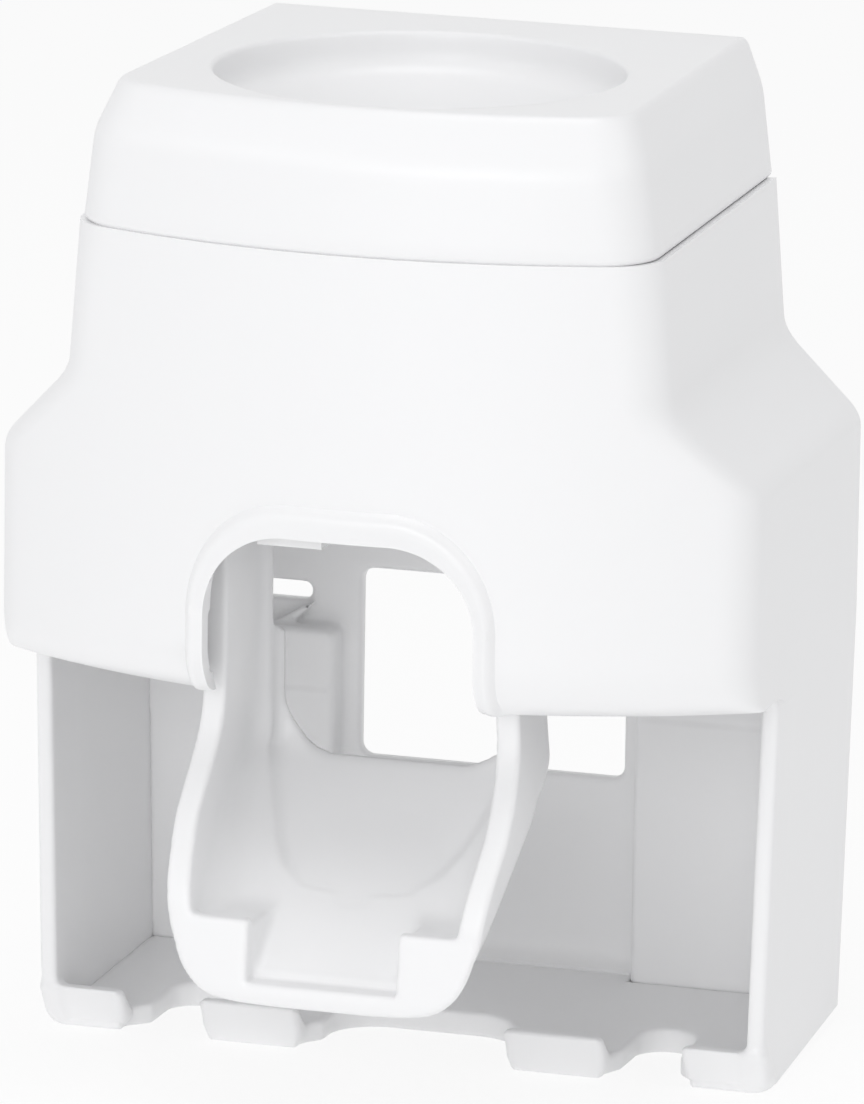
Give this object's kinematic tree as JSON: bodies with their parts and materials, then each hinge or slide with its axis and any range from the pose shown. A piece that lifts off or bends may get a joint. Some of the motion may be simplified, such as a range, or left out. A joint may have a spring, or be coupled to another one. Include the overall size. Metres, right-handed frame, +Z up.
{
  "type": "toothpaste dispenser",
  "caption": "Wall or shelf toothpaste dispenser: an arched housing with a lever cup that works a small pump, a bowl on top for the tube and a notched toothbrush tray.",
  "frame": {"origin": "centre of the bounding box on the plane that the tray and side walls stand on", "axes": "+Z up, the wall side faces +Y and the arch and cup face -Y, +X to the right seen from the front"},
  "size_m": [0.1092, 0.0802, 0.1407],
  "materials": {
    "shell_white": "satin moulded ABS",
    "inner_white": "moulded acetal and polypropylene",
    "silicone": "translucent moulded silicone",
    "dark_rubber": "moulded nitrile rubber",
    "pad_foam": "closed-cell foam with adhesive",
    "steel": "stainless"
  },
  "bodies": {
    "body": {"housing": "shell_white", "back_plate": "shell_white", "brush_tray": "shell_white", "adhesive_pad_left": "pad_foam", "adhesive_pad_right": "pad_foam", "tube_seal": "silicone", "pump_carrier": "inner_white", "pump_body": "inner_white", "pump_end_cap": "inner_white", "inlet_valve": "silicone", "outlet_valve": "silicone", "outlet_collar": "inner_white", "axle_bushing_left": "silicone", "axle_bushing_right": "silicone", "return_spring_left": "steel", "return_spring_right": "steel", "stop_bumper": "dark_rubber", "carrier_screws": "steel", "back_screws": "steel", "tray_screws": "steel"},
    "lever": {"lever": "shell_white", "lever_axle": "steel", "cross_pin": "steel", "axle_clip_left": "steel", "axle_clip_right": "steel"},
    "piston": {"piston": "inner_white", "piston_ring": "dark_rubber"},
    "cap": {"top_cap": "shell_white"}
  },
  "joints": [
    {"name": "lever_swing", "type": "hinge", "parent": "body", "child": "lever", "pos_m": [0, -0.00428, 0.0885], "axis": [1, 0, 0], "range_deg": [0, 11.46], "stiffness_Nm_per_rad": 0.05, "springref_deg": -17.19, "deforming": ["return_spring_left", "return_spring_right"]},
    {"name": "piston_slide", "type": "slide", "parent": "body", "child": "piston", "axis": [0, -1, 0], "range_m": [0, 0.0036]},
    {"name": "cap_lift", "type": "slide", "parent": "body", "child": "cap", "axis": [0, 0, 1], "range_m": [0, 0.03]}
  ],
  "couplings": [
    {"joint": "piston_slide", "follows": "lever_swing", "m_per_rad": 0.0175}
  ]
}
